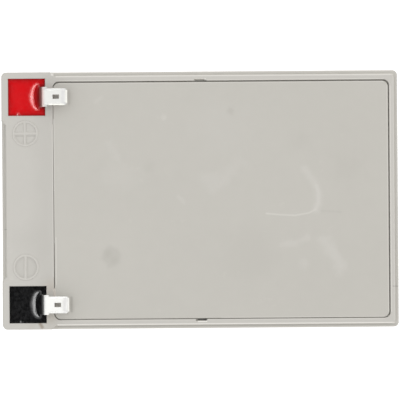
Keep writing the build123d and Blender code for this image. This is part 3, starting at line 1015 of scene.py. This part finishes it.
@dataclass
class Housing:
    """Container, lid and vent cover, which keep the shapes of their CAD nodes.

    Attributes:
        case: The container's finish.
        lid: The lid's finish, with its marks on the top face and the shoulder: stains and nicks,
            painted highlights along its edges, and painted shade round the signs, at the platform's
            foot and in the notches.
        cover: The vent cover's finish, with its marks: stains and smears, painted highlights along
            its edges, and painted shadows beside and under the blades.
    """

    case: MouldedPlastic = MouldedPlastic(
        "grey_container",
        (198, 195, 187),
        roughness=0.52,
        grain_size=0.45,
        grain_depth=0.012,
    )
    lid: MouldedPlastic = MouldedPlastic(
        "grey_lid",
        warm(203),
        marked_from=(91.1, 91.5),
        marks=(
            Stroke(((-58.5, 34.0), (-58.5, -34.0)), 9.0, warm(191), 0.45, ragged=0.5),
            Spot((-63.5, -15.0), 6.0, 5.5, warm(190), 0.3, ragged=1.6),
            # Painted shade just inside the raised rings of the plus and minus, with the lid's
            # colour laid back over their middles.
            Spot((-66.45, 25.68), 4.35, 0.2, warm(188), 0.55, ragged=0.1),
            Spot((-66.45, 25.68), 3.7, 0.7, warm(202), 0.9, ragged=0.1),
            Spot((-66.5, -25.3), 4.35, 0.2, warm(184), 0.6, ragged=0.1),
            Spot((-66.5, -25.3), 3.4, 0.9, warm(200), 0.9, ragged=0.1),
            # Painted shade beside the raised bars of the signs.
            Stroke(((-70.2, 24.7), (-62.5, 24.7)), 0.45, warm(176), 0.6, ragged=0.3),
            Stroke(((-65.95, 29.2), (-65.95, 22.0)), 0.4, warm(184), 0.5, ragged=0.3),
            Stroke(((-65.9, -29.0), (-65.9, -21.6)), 0.4, warm(182), 0.5, ragged=0.3),
            Stroke(((-61.3, -46.7), (-60.5, -48.1)), 1.1, (146, 130, 110), 0.75),
            Spot((-57.0, -32.4), 2.4, 2.2, (196, 182, 166), 0.3, ragged=1.0),
            Spot((-57.0, -44.6), 2.4, 2.2, (196, 186, 168), 0.3, ragged=1.0),
            # Painted light over the seam's shade beside the sealant smear.
            Stroke(((-55.9, -34.0), (-55.9, -37.0)), 0.45, (255, 250, 240), 0.85),
            Spot((-64.5, -47.9), 1.3, 1.1, (184, 174, 158), 0.2),
            # Painted highlight at the end of the plus terminal's boss.
            Spot((-56.0, 48.2), 0.5, 0.4, (244, 242, 236), 0.8, ragged=0.2),
            Stroke(((73.2, -33.4), (75.2, -33.5)), 0.25, warm(150), 0.8),
            Stroke(((-74.6, -10.8), (-73.8, -10.8)), 0.25, warm(160), 0.7),
            # Painted shade at the foot of the platform's front wall, then painted highlights along
            # the platform's edges, the shoulder's outer edges and the recess edges beside the seam.
            Stroke(((-54.5, -48.0), (74.6, -48.0)), 0.5, (176, 173, 167), 0.6),
            Stroke(((-54.5, -47.3), (73.6, -47.3)), 0.45, warm(250), 0.85),
            Stroke(((-54.5, 47.3), (73.6, 47.3)), 0.5, warm(238), 0.7),
            Stroke(((73.85, 47.3), (73.85, -47.3)), 0.4, warm(222), 0.5),
            Stroke(((-54.5, -48.95), (75.0, -48.95)), 0.35, warm(232), 0.6),
            Stroke(((-54.5, 48.9), (75.0, 48.9)), 0.35, warm(232), 0.6),
            Stroke(((-53.6, 45.6), (70.0, 45.6)), 0.35, warm(232), 0.5),
            Stroke(((-53.6, -45.7), (70.0, -45.7)), 0.35, warm(222), 0.5),
            Stroke(((72.5, 43.0), (72.5, -43.0)), 0.4, warm(234), 0.6),
            Stroke(((-56.05, 29.0), (-56.05, -29.0)), 0.28, warm(236), 0.5),
            # Painted light and painted shade in the two notches of the recess edge, at the back and
            # at the front.
            Stroke(((-1.7, 46.1), (2.3, 46.1)), 0.4, warm(240), 0.8),
            Stroke(((-1.4, 45.35), (2.5, 45.35)), 0.5, (104, 102, 96), 0.8),
            Stroke(((-1.0, -46.3), (2.1, -46.3)), 0.4, warm(250), 0.9),
            Stroke(((-1.0, -45.6), (2.1, -45.6)), 0.55, (24, 24, 20), 0.95),
        ),
    )
    cover: MouldedPlastic = MouldedPlastic(
        "grey_cover",
        (199, 196, 188),
        marks=(
            Spot((-34.3, -21.5), 3.6, 1.2, (189, 186, 178), 0.65, ragged=1.0),
            Spot((-35.2, -20.2), 1.4, 1.2, (184, 181, 172), 0.45, ragged=1.0),
            Spot((-32.9, -22.7), 1.2, 1.0, (185, 182, 173), 0.45, ragged=1.0),
            Spot((11.7, 33.6), 1.3, 1.1, (182, 178, 170), 0.5, ragged=1.4),
            Spot((-19.4, 12.9), 1.9, 1.7, (190, 187, 179), 0.35, ragged=1.4),
            Spot((38.3, 22.0), 3.6, 3.2, (191, 188, 180), 0.3, ragged=1.4),
            Spot((19.4, -21.2), 9.0, 7.5, (191, 188, 180), 0.35, ragged=1.2),
            Spot((56.3, 12.0), 5.0, 4.5, (191, 188, 180), 0.3, ragged=1.2),
            Spot((39.3, -24.7), 1.7, 1.5, warm(208), 0.4, ragged=1.4),
            Spot((-13.7, 31.4), 0.9, 0.8, warm(212), 0.45, ragged=1.4),
            Spot((8.3, 28.0), 9.5, 6.0, warm(203), 0.4, ragged=1.6),
            Spot((-30.5, 9.5), 5.5, 4.0, warm(206), 0.35, ragged=1.8),
            Stroke(((-39.7, 37.5), (-37.3, 39.4)), 1.4, warm(208), 0.4, ragged=1.4),
            Stroke(((-34.1, 21.6), (-31.3, 16.3)), 3.0, warm(207), 0.4, ragged=1.4),
            Stroke(((1.5, 7.5), (9.6, 9.0), (15.8, 14.1)), 4.6, warm(206), 0.45, ragged=1.4),
            Stroke(((9.6, 7.0), (4.8, 3.7)), 3.6, warm(206), 0.4, ragged=1.4),
            Stroke(((-8.2, 1.3), (-6.2, -0.9)), 1.4, warm(209), 0.4, ragged=1.4),
            Stroke(((47.5, -15.7), (51.3, -21.4), (53.6, -26.2)), 4.2, warm(209), 0.55, ragged=1.4),
            Stroke(((31.3, -17.0), (36.0, -16.6), (40.8, -14.9)), 2.4, warm(208), 0.5, ragged=1.4),
            Stroke(
                ((25.2, -5.4), (30.4, -5.9), (36.1, -6.2), (41.4, -5.3), (43.9, -4.0)),
                0.6,
                warm(214),
                0.8,
                ragged=0.3,
            ),
            Stroke(
                ((43.9, -4.0), (45.0, -1.4), (45.1, 2.4), (43.8, 5.8), (41.5, 9.3), (39.9, 11.2)),
                2.8,
                warm(209),
                0.55,
                ragged=0.8,
            ),
            Stroke(((43.9, -4.0), (45.0, -1.4), (45.1, 2.4), (44.3, 5.0)), 1.2, warm(212), 0.5),
            Stroke(((46.5, -4.6), (53.5, -5.0)), 0.9, (188, 185, 177), 0.4, ragged=0.8),
            # Painted highlights along the cover's edges beside the seam; on the left they also
            # lighten the seam's shade.
            Stroke(((-53.6, 44.65), (70.0, 44.65)), 0.35, warm(226), 0.6),
            Stroke(((71.45, 43.0), (71.45, -43.0)), 0.35, warm(224), 0.6),
            Stroke(((8.0, -44.9), (70.0, -44.9)), 0.35, warm(222), 0.55),
            Stroke(((-55.65, 31.0), (-55.65, 4.0)), 0.35, (250, 248, 242), 0.6),
            Stroke(((-55.6, 4.0), (-55.6, -16.0)), 0.3, (236, 234, 228), 0.5),
            Stroke(((-55.0, -14.0), (-55.0, -32.0)), 0.35, warm(222), 0.6),
            # Painted light over the seam's shade beside the sealant smear.
            Stroke(((-55.6, -34.0), (-55.6, -37.0)), 0.45, (255, 253, 247), 0.9),
            # Painted shadows on the cover to the right of the blades' tips.
            Stroke(((-49.6, 37.0), (-49.6, 42.0)), 0.9, (176, 173, 165), 0.5, ragged=0.6),
            Stroke(((-49.3, -42.0), (-49.3, -37.0)), 0.9, (166, 163, 155), 0.6, ragged=0.6),
            # Painted shadows of the blades, seen through their slots.
            Stroke(((-55.3, 39.5), (-53.9, 39.5)), 1.7, (140, 138, 133), 0.75),
            Stroke(((-55.1, -39.5), (-53.7, -39.5)), 1.7, warm(148), 0.75),
        ),
    )

    def dress(self) -> None:
        """Dress the three mouldings."""
        dress(["container"], self.case.build())
        dress(["lid"], self.lid.build())
        dress(["vent_cover"], self.cover.build())


@dataclass
class ResinPour:
    """Potting resin poured into one terminal well, drawn up round the blade.

    Lengths are in millimetres. The resin's skin is a fine net of heights over the well.

    Attributes:
        node: The CAD node that the pour stands for.
        slot: Its material slot; not used.
        tab: The CAD node of the blade.
        finish: Its finish.
        reach_x: How far the brim of the mound lies from the blade, along X.
        reach_y: The same along Y.
        shift_y: How far the mound is off the blade's middle, along Y.
        seed: Seed of the uneven skin.
        rise: Height of the mound.
        slope_width: Width of the slope up to its brim.
        bulge: How square the mound is in plan, where 2 is an ellipse.
        width_power: How fast the slope narrows towards the ends of the mound.
        rise_power: How fast the mound sinks towards its ends.
        tab_to_wall: From the blade's inner face to the well's wall.
        strip_thickness: Thickness of the blade's strip.
        fade_facing: The turn towards the front, from 0 to 1, below which the mound fades out.
        least: The smallest share that is divided by or raised to a power.
        step: Width of the net's meshes.
        wave_count: How many waves make the uneven skin.
        wave_height: How high they are together.
        wave_length: How long they are.
        wave_spread: How far the lengths differ, as factors.
        drop_place: Where a small drop lies, from the well's middle along X and from its
            lowest edge along Y.
        drop_radius: The drop's radius.
        drop_height: The drop's height.
        wall_shade: How dark the resin is along the walls.
        wall_shade_width: How far that reaches.
        brim_shade: How much light is left inside the brim.
        brim_blur: How softly the brim's shade ends, as a share of the mound.
        blade_shade: How much light is left beside the blade.
        blade_shade_width: How far that reaches along X.
        blade_shade_end: Where that ends along Y, as a share of the mound's reach.
        sharp_angle: The angle from which an edge stays sharp, in degrees.
    """

    node: str
    slot: str
    tab: str
    finish: PottingResin
    reach_x: float
    reach_y: float
    shift_y: float
    seed: int
    rise: float = 0.265
    slope_width: float = 2.7
    bulge: float = 2.3
    width_power: float = 0.8
    rise_power: float = 0.3
    tab_to_wall: float = 1.0
    strip_thickness: float = 0.8
    fade_facing: float = 0.32
    least: float = 0.01
    step: float = 0.1
    wave_count: int = 6
    wave_height: float = 0.012
    wave_length: float = 4.5
    wave_spread: Point = (0.6, 1.6)
    drop_place: Point = (-3.0, 0.5)
    drop_radius: float = 0.65
    drop_height: float = 0.11
    wall_shade: float = 0.55
    wall_shade_width: float = 0.9
    brim_shade: float = 0.72
    brim_blur: float = 0.06
    blade_shade: float = 0.4
    blade_shade_width: float = 1.1
    blade_shade_end: float = 1.3
    sharp_angle: float = 50.0

    def shape(
        self, x: np.ndarray, y: np.ndarray, low: Vector, high: Vector
    ) -> tuple[np.ndarray, np.ndarray]:
        """Work out the skin over the flat level, and the shade painted over it.

        Args:
            x: Places along X, in millimetres.
            y: Places along Y, in millimetres.
            low: The well's lowest corner, in metres.
            high: The well's highest corner, in metres.

        Returns:
            Heights over the flat level in millimetres, and painted shades from 0 to 1.
        """
        tab_low, tab_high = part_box(self.tab)
        blade_y = (tab_low.y + tab_high.y) / 2 / MM + self.shift_y
        riser_x = high.x / MM - self.tab_to_wall - self.strip_thickness
        ahead = np.clip(riser_x - x, 0.0, None)
        aside = np.abs(y - blade_y) / self.reach_y
        ring = ((ahead / self.reach_x) ** self.bulge + aside**self.bulge) ** (1 / self.bulge)
        away = np.hypot(ahead, y - blade_y)
        ring_size = np.maximum(ring, self.least)
        outside = away * (1.0 - 1.0 / ring_size)
        facing = np.clip(ahead / self.reach_x / ring_size, self.least, 1.0)
        width = self.slope_width * facing**self.width_power
        climb = np.clip(1.0 - outside / width, 0.0, 1.0)
        fade = np.clip(facing / self.fade_facing, 0.0, 1.0)
        skin = self.rise * facing**self.rise_power * climb**2 * fade**2 * (3.0 - 2.0 * fade)

        rng = np.random.default_rng(self.seed)
        waves = np.zeros_like(x)
        for _ in range(self.wave_count):
            angle, phase = rng.uniform(0.0, 2 * math.pi, 2)
            turn = 2 * math.pi / (self.wave_length * rng.uniform(*self.wave_spread))
            waves += np.sin(turn * (x * math.cos(angle) + y * math.sin(angle)) + phase)
        skin += self.wave_height * waves / self.wave_count

        drop_x = (low.x + high.x) / 2 / MM + self.drop_place[0]
        drop_y = low.y / MM + self.drop_place[1]
        from_drop = np.hypot(x - drop_x, y - drop_y) / self.drop_radius
        skin += self.drop_height * np.exp(-(from_drop**2))

        # Painted shade: darker along the walls, inside the brim and beside the blade.
        to_wall = np.minimum.reduce(
            [x - low.x / MM, high.x / MM - x, y - low.y / MM, high.y / MM - y]
        )
        shade = 1.0 - self.wall_shade * np.exp(-to_wall / self.wall_shade_width)
        inside = np.clip((1.0 - ring) / self.brim_blur, 0.0, 1.0)
        shade *= 1.0 - (1.0 - self.brim_shade) * inside
        across = np.clip(self.blade_shade_end - aside, 0.0, 1.0)
        near = np.exp(-((ahead / self.blade_shade_width) ** 2)) * across
        shade *= 1.0 - (1.0 - self.blade_shade) * near
        return skin, shade

    def build(self) -> bpy.types.Object:
        """Build the pour as one closed mesh that stands for its CAD node.

        Returns:
            The new object.
        """
        low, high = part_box(self.node)
        count = round((high.x - low.x) / MM / self.step) + 1
        xs = np.linspace(low.x, high.x, count) / MM
        ys = np.linspace(low.y, high.y, count) / MM
        x, y = np.meshgrid(xs, ys)
        skin, shade = self.shape(x, y, low, high)
        z = high.z / MM + skin
        top = np.stack([x, y, z], axis=-1).reshape(-1, 3)
        number = np.arange(count * count).reshape(count, count)
        quads = np.stack(
            [number[:-1, :-1], number[:-1, 1:], number[1:, 1:], number[1:, :-1]], axis=-1
        ).reshape(-1, 4)
        rim = np.concatenate([number[0, :-1], number[:-1, -1], number[-1, :0:-1], number[:0:-1, 0]])
        base = top[rim].copy()
        base[:, 2] = low.z / MM
        below = np.arange(len(rim)) + count * count
        sides = np.stack([rim, below, np.roll(below, -1), np.roll(rim, -1)], axis=-1)
        faces = quads.tolist() + sides.tolist() + [below[::-1].tolist()]
        mesh = bpy.data.meshes.new(self.node + "_pour")
        mesh.from_pydata((np.concatenate([top, base]) * MM).tolist(), [], faces)
        mesh.shade_smooth()
        mesh.set_sharp_from_angle(angle=math.radians(self.sharp_angle))
        shades = mesh.attributes.new(self.finish.shade_name, "FLOAT", "POINT")
        shades.data.foreach_set("value", np.concatenate([shade.ravel(), shade.ravel()[rim]]))
        mesh.materials.append(self.finish.build())
        pour = put(self.node + "_pour", mesh)
        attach(pour, "root")
        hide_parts(self.node)
        LOG.info("%s: %d faces", pour.name, len(mesh.polygons))
        return pour


@dataclass
class Terminals:
    """The two blades with the resin round them and the posts below.

    Attributes:
        positive_strip: The finish of the positive blade.
        negative_strip: The finish of the negative blade.
        lead: The finish of the posts and cell links.
        pours: The resin in the two wells.
    """

    positive_strip: TinnedStrip = TinnedStrip(
        "tin_plate_positive",
        (201, 201, 198),
        # Painted reddish reflection of the resin and painted shade on the riser and its bend.
        (162, 94, 90),
        dull_from=-60.9,
        marks=(
            # A darker band before the tip, and painted highlights along the tip and along the
            # blade's long edge on the -Y side.
            Stroke(((-51.9, 36.9), (-51.8, 42.0)), 1.2, (184, 183, 184), 0.5, ragged=0.6),
            Stroke(((-50.5, 37.4), (-50.5, 41.6)), 0.6, (236, 235, 228), 0.9),
            Stroke(((-57.0, 36.5), (-51.5, 36.5)), 0.55, (232, 232, 224), 0.8, ragged=0.6),
        ),
    )
    negative_strip: TinnedStrip = TinnedStrip(
        "tin_plate_negative",
        (214, 214, 211),
        # Painted dark reflection of the resin and painted shade on the riser and its bend.
        (66, 66, 66),
        dull_from=-60.7,
        marks=(
            # Darker bands before the tip, and a painted highlight along the tip.
            Stroke(((-51.7, -42.3), (-51.4, -37.2)), 1.1, (196, 195, 195), 0.55, ragged=0.6),
            Stroke(((-50.2, -41.6), (-50.2, -37.4)), 0.5, (240, 238, 232), 0.8),
            Stroke(((-52.0, -41.4), (-51.7, -37.8)), 1.7, (184, 182, 180), 0.45, ragged=1.5),
        ),
        bend_width=2.2,
    )
    lead: GrainedSolid = GrainedSolid(
        "cast_lead", (148, 151, 156), 0.5, metallic=1.0, grain_size=0.8, grain_depth=0.03
    )
    pours: tuple[ResinPour, ...] = (
        ResinPour(
            node="positive_resin",
            slot="red_resin",
            tab="positive_tab",
            finish=PottingResin("red_resin", (229, 2, 14), dusting=0.01),
            tab_to_wall=1.2,
            reach_x=2.38,
            reach_y=4.95,
            shift_y=0.12,
            bulge=2.1,
            slope_width=2.45,
            seed=4,
        ),
        ResinPour(
            node="negative_resin",
            slot="black_resin",
            tab="negative_tab",
            finish=PottingResin("black_resin", (15, 15, 16)),
            reach_x=2.42,
            reach_y=4.9,
            shift_y=0.06,
            seed=9,
            drop_place=(-2.4, 0.45),
            drop_radius=0.6,
            drop_height=0.08,
        ),
    )

    def build(self) -> None:
        """Dress the blades, posts and links, and pour the resin."""
        dress(["positive_tab"], self.positive_strip.build())
        dress(["negative_tab"], self.negative_strip.build())
        dress(["positive_post", "negative_post"] + named("cell_link"), self.lead.build())
        for pour in self.pours:
            pour.build()


@dataclass
class SealantSmear:
    """A thin smear of sealant that closes the cover's seam beside the minus blade.

    Lengths are in millimetres, and the height counts from the cover's face.

    Attributes:
        finish: Its finish.
        centre: Its middle.
        half_size: Half its size along each axis.
        segments: How many faces go round it.
        rings: How many go from its lowest to its highest point.
    """

    finish: MouldedPlastic = MouldedPlastic("grey_brown_sealant", (204, 197, 187))
    centre: Place = (-55.72, -35.3, -0.05)
    half_size: Place = (0.5, 2.1, 0.13)
    segments: int = 24
    rings: int = 12

    def build(self) -> bpy.types.Object:
        """Build the smear as one flat closed drop that sits in the seam.

        Returns:
            The new object.
        """
        drop = bmesh.new()
        bmesh.ops.create_uvsphere(drop, u_segments=self.segments, v_segments=self.rings, radius=MM)
        bmesh.ops.scale(drop, vec=self.half_size, verts=drop.verts)
        place = [size * MM for size in self.centre]
        place[2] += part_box("vent_cover")[1].z
        bmesh.ops.translate(drop, vec=place, verts=drop.verts)
        mesh = bpy.data.meshes.new("sealant_smear")
        drop.to_mesh(mesh)
        drop.free()
        mesh.shade_smooth()
        mesh.materials.append(self.finish.build())
        smear = put("sealant_smear", mesh)
        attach(smear, "root")
        LOG.info("%s: %d faces", smear.name, len(mesh.polygons))
        return smear


@dataclass
class Inside:
    """What the sealed case holds, dressed for whoever takes the lid off.

    Attributes:
        rubber: The finish of the valve caps.
        positive: The finish of the positive plates.
        negative: The finish of the negative plates.
        mat: The finish of the separators.
    """

    rubber: GrainedSolid = GrainedSolid("valve_rubber", (46, 46, 46), 0.75, grain_depth=0.01)
    positive: GrainedSolid = GrainedSolid("positive_paste", (82, 56, 44), 0.9, grain_depth=0.05)
    negative: GrainedSolid = GrainedSolid("negative_paste", (132, 135, 138), 0.85, grain_depth=0.05)
    mat: GrainedSolid = GrainedSolid(
        "glass_mat", (236, 236, 232), 0.95, grain_size=0.12, mottle=0.06, stretch=(0.2, 1.0, 1.0)
    )

    def dress(self) -> None:
        """Dress the valve caps, plates and mats."""
        dress(named("valve_cap"), self.rubber.build())
        dress(named("positive_plates"), self.positive.build())
        dress(named("negative_plates"), self.negative.build())
        dress(named("separators"), self.mat.build())


@dataclass
class PolarityMarks:
    """Raised plus and minus signs in rings, made by one Geometry Nodes tree.

    Lengths are in millimetres. The minus is turned, as it is on the real lid.

    Attributes:
        finish: Their finish, the lid's plastic made a little lighter as painted light on their
            raised tops.
        plus_centre: The middle of the plus in plan.
        minus_centre: The middle of the minus in plan.
        sizes: The lengths that the tree takes, by the names of its inputs.
        ring_steps: How many straight pieces a ring has.
        profile_steps: How many the oval has that is swept along rings and bars.
    """

    # A lighter copy of the lid's plastic: painted light on the signs' tops.
    finish: MouldedPlastic = MouldedPlastic("grey_raised_signs", (205, 202, 195))
    plus_centre: Point = (-66.45, 25.68)
    minus_centre: Point = (-66.5, -25.3)
    sizes: dict[str, float] = field(
        default_factory=lambda: {
            "Ring radius": 4.53,
            "Ring width": 1.0,
            "Bar width": 1.2,
            "Bar shift": -0.2,
            "Height": 0.26,
        }
    )
    ring_steps: int = 72
    profile_steps: int = 12

    def _sweep(self, sheet: NodeSheet, given: Sockets, path: Socket, width: str) -> Socket:
        """Sweep a flat oval along a path.

        Args:
            sheet: The tree's sheet.
            given: The tree's inputs.
            path: The path's curve.
            width: The input that holds the oval's width.

        Returns:
            The mesh.
        """
        kind = "GeometryNodeCurvePrimitiveCircle"
        oval = sheet.fill(kind, "Curve", resolution=self.profile_steps, radius=1.0)
        half = sheet.math("MULTIPLY", given[width], 0.5)
        size = sheet.fill("ShaderNodeCombineXYZ", "Vector", x=half, y=given["Height"], z=1.0)
        flat = sheet.fill("GeometryNodeTransform", "Geometry", geometry=oval, scale=size)
        return sheet.fill(
            "GeometryNodeCurveToMesh", "Mesh", curve=path, profile_curve=flat, fill_caps=True
        )

    def _bar(self, sheet: NodeSheet, given: Sockets, along: str) -> Socket:
        """Add one bar of a sign, from ring to ring. Upright bars stand off the ring's middle.

        Args:
            sheet: The tree's sheet.
            given: The tree's inputs.
            along: The axis that the bar runs along, X or Y.

        Returns:
            The bar's mesh.
        """
        ends = []
        for side in (-1.0, 1.0):
            end = sheet.add("ShaderNodeCombineXYZ")
            sheet.feed(end.inputs[along], sheet.math("MULTIPLY", given["Ring radius"], side))
            if along == "Y":
                sheet.feed(end.inputs["X"], given["Bar shift"])
            ends.append(end.outputs[0])
        line = sheet.fill("GeometryNodeCurvePrimitiveLine", "Curve", start=ends[0], end=ends[1])
        return self._sweep(sheet, given, line, "Bar width")

    def _ring(self, sheet: NodeSheet, given: Sockets) -> Socket:
        """Add the ring round a sign.

        Args:
            sheet: The tree's sheet.
            given: The tree's inputs.

        Returns:
            The ring's mesh.
        """
        kind = "GeometryNodeCurvePrimitiveCircle"
        radius = given["Ring radius"]
        circle = sheet.fill(kind, "Curve", resolution=self.ring_steps, radius=radius)
        return self._sweep(sheet, given, circle, "Ring width")

    def _tree(self) -> bpy.types.GeometryNodeTree:
        """Build the tree that makes both signs.

        Returns:
            The tree.
        """
        inputs = {
            SocketKind.NUMBER: tuple(self.sizes),
            SocketKind.VECTOR: ("Plus centre", "Minus centre"),
            SocketKind.MATERIAL: ("Material",),
        }
        output = ("Geometry", SocketKind.GEOMETRY)
        sheet, given = open_group("Polarity marks", "GeometryNodeTree", output, inputs)
        ring = self._ring(sheet, given)
        upright = self._bar(sheet, given, "Y")
        level = self._bar(sheet, given, "X")
        join = sheet.add("GeometryNodeJoinGeometry")
        parts = (("Minus centre", (ring, upright)), ("Plus centre", (ring, upright, level)))
        for centre, shapes in parts:
            for shape in shapes:
                moved = sheet.fill(
                    "GeometryNodeTransform", "Geometry", geometry=shape, translation=given[centre]
                )
                sheet.feed(join.inputs["Geometry"], moved)
        signs = join.outputs["Geometry"]
        real = sheet.fill("GeometryNodeRealizeInstances", "Geometry", geometry=signs)
        painted = sheet.fill(
            "GeometryNodeSetMaterial", "Geometry", geometry=real, material=given["Material"]
        )
        return sheet.close(painted)

    def build(self) -> bpy.types.Object:
        """Build the signs as one plain mesh on the lid.

        Returns:
            The new object.
        """
        tree = self._tree()
        maker = put("sign_maker", bpy.data.meshes.new("sign_maker"))
        modifier = maker.modifiers.new("signs", "NODES")
        modifier.node_group = tree
        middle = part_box("vent_cover")[1].z
        values = {name: size * MM for name, size in self.sizes.items()}
        values["Plus centre"] = in_plan(self.plus_centre, middle)
        values["Minus centre"] = in_plan(self.minus_centre, middle)
        values["Material"] = self.finish.build()
        for item in tree.interface.items_tree:
            if item.in_out == "INPUT":
                modifier[item.identifier] = values[item.name]
        graph = bpy.context.evaluated_depsgraph_get()
        mesh = bpy.data.meshes.new_from_object(maker.evaluated_get(graph))
        bpy.data.objects.remove(maker)
        mesh.name = "polarity_marks"
        mesh.shade_smooth()
        marks = put("polarity_marks", mesh)
        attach(marks, "root")
        LOG.info("%s: %d faces", marks.name, len(mesh.polygons))
        return marks


def main() -> None:
    """Build the battery's looks and its studio, piece by piece."""
    logging.basicConfig(level=logging.INFO, format="%(message)s")
    bpy.context.scene.view_settings.view_transform = "Standard"
    PhotoCamera().build()
    Studio().build()
    Housing().dress()
    Terminals().build()
    PolarityMarks().build()
    SealantSmear().build()
    Inside().dress()


if __name__ == "__main__":
    main()
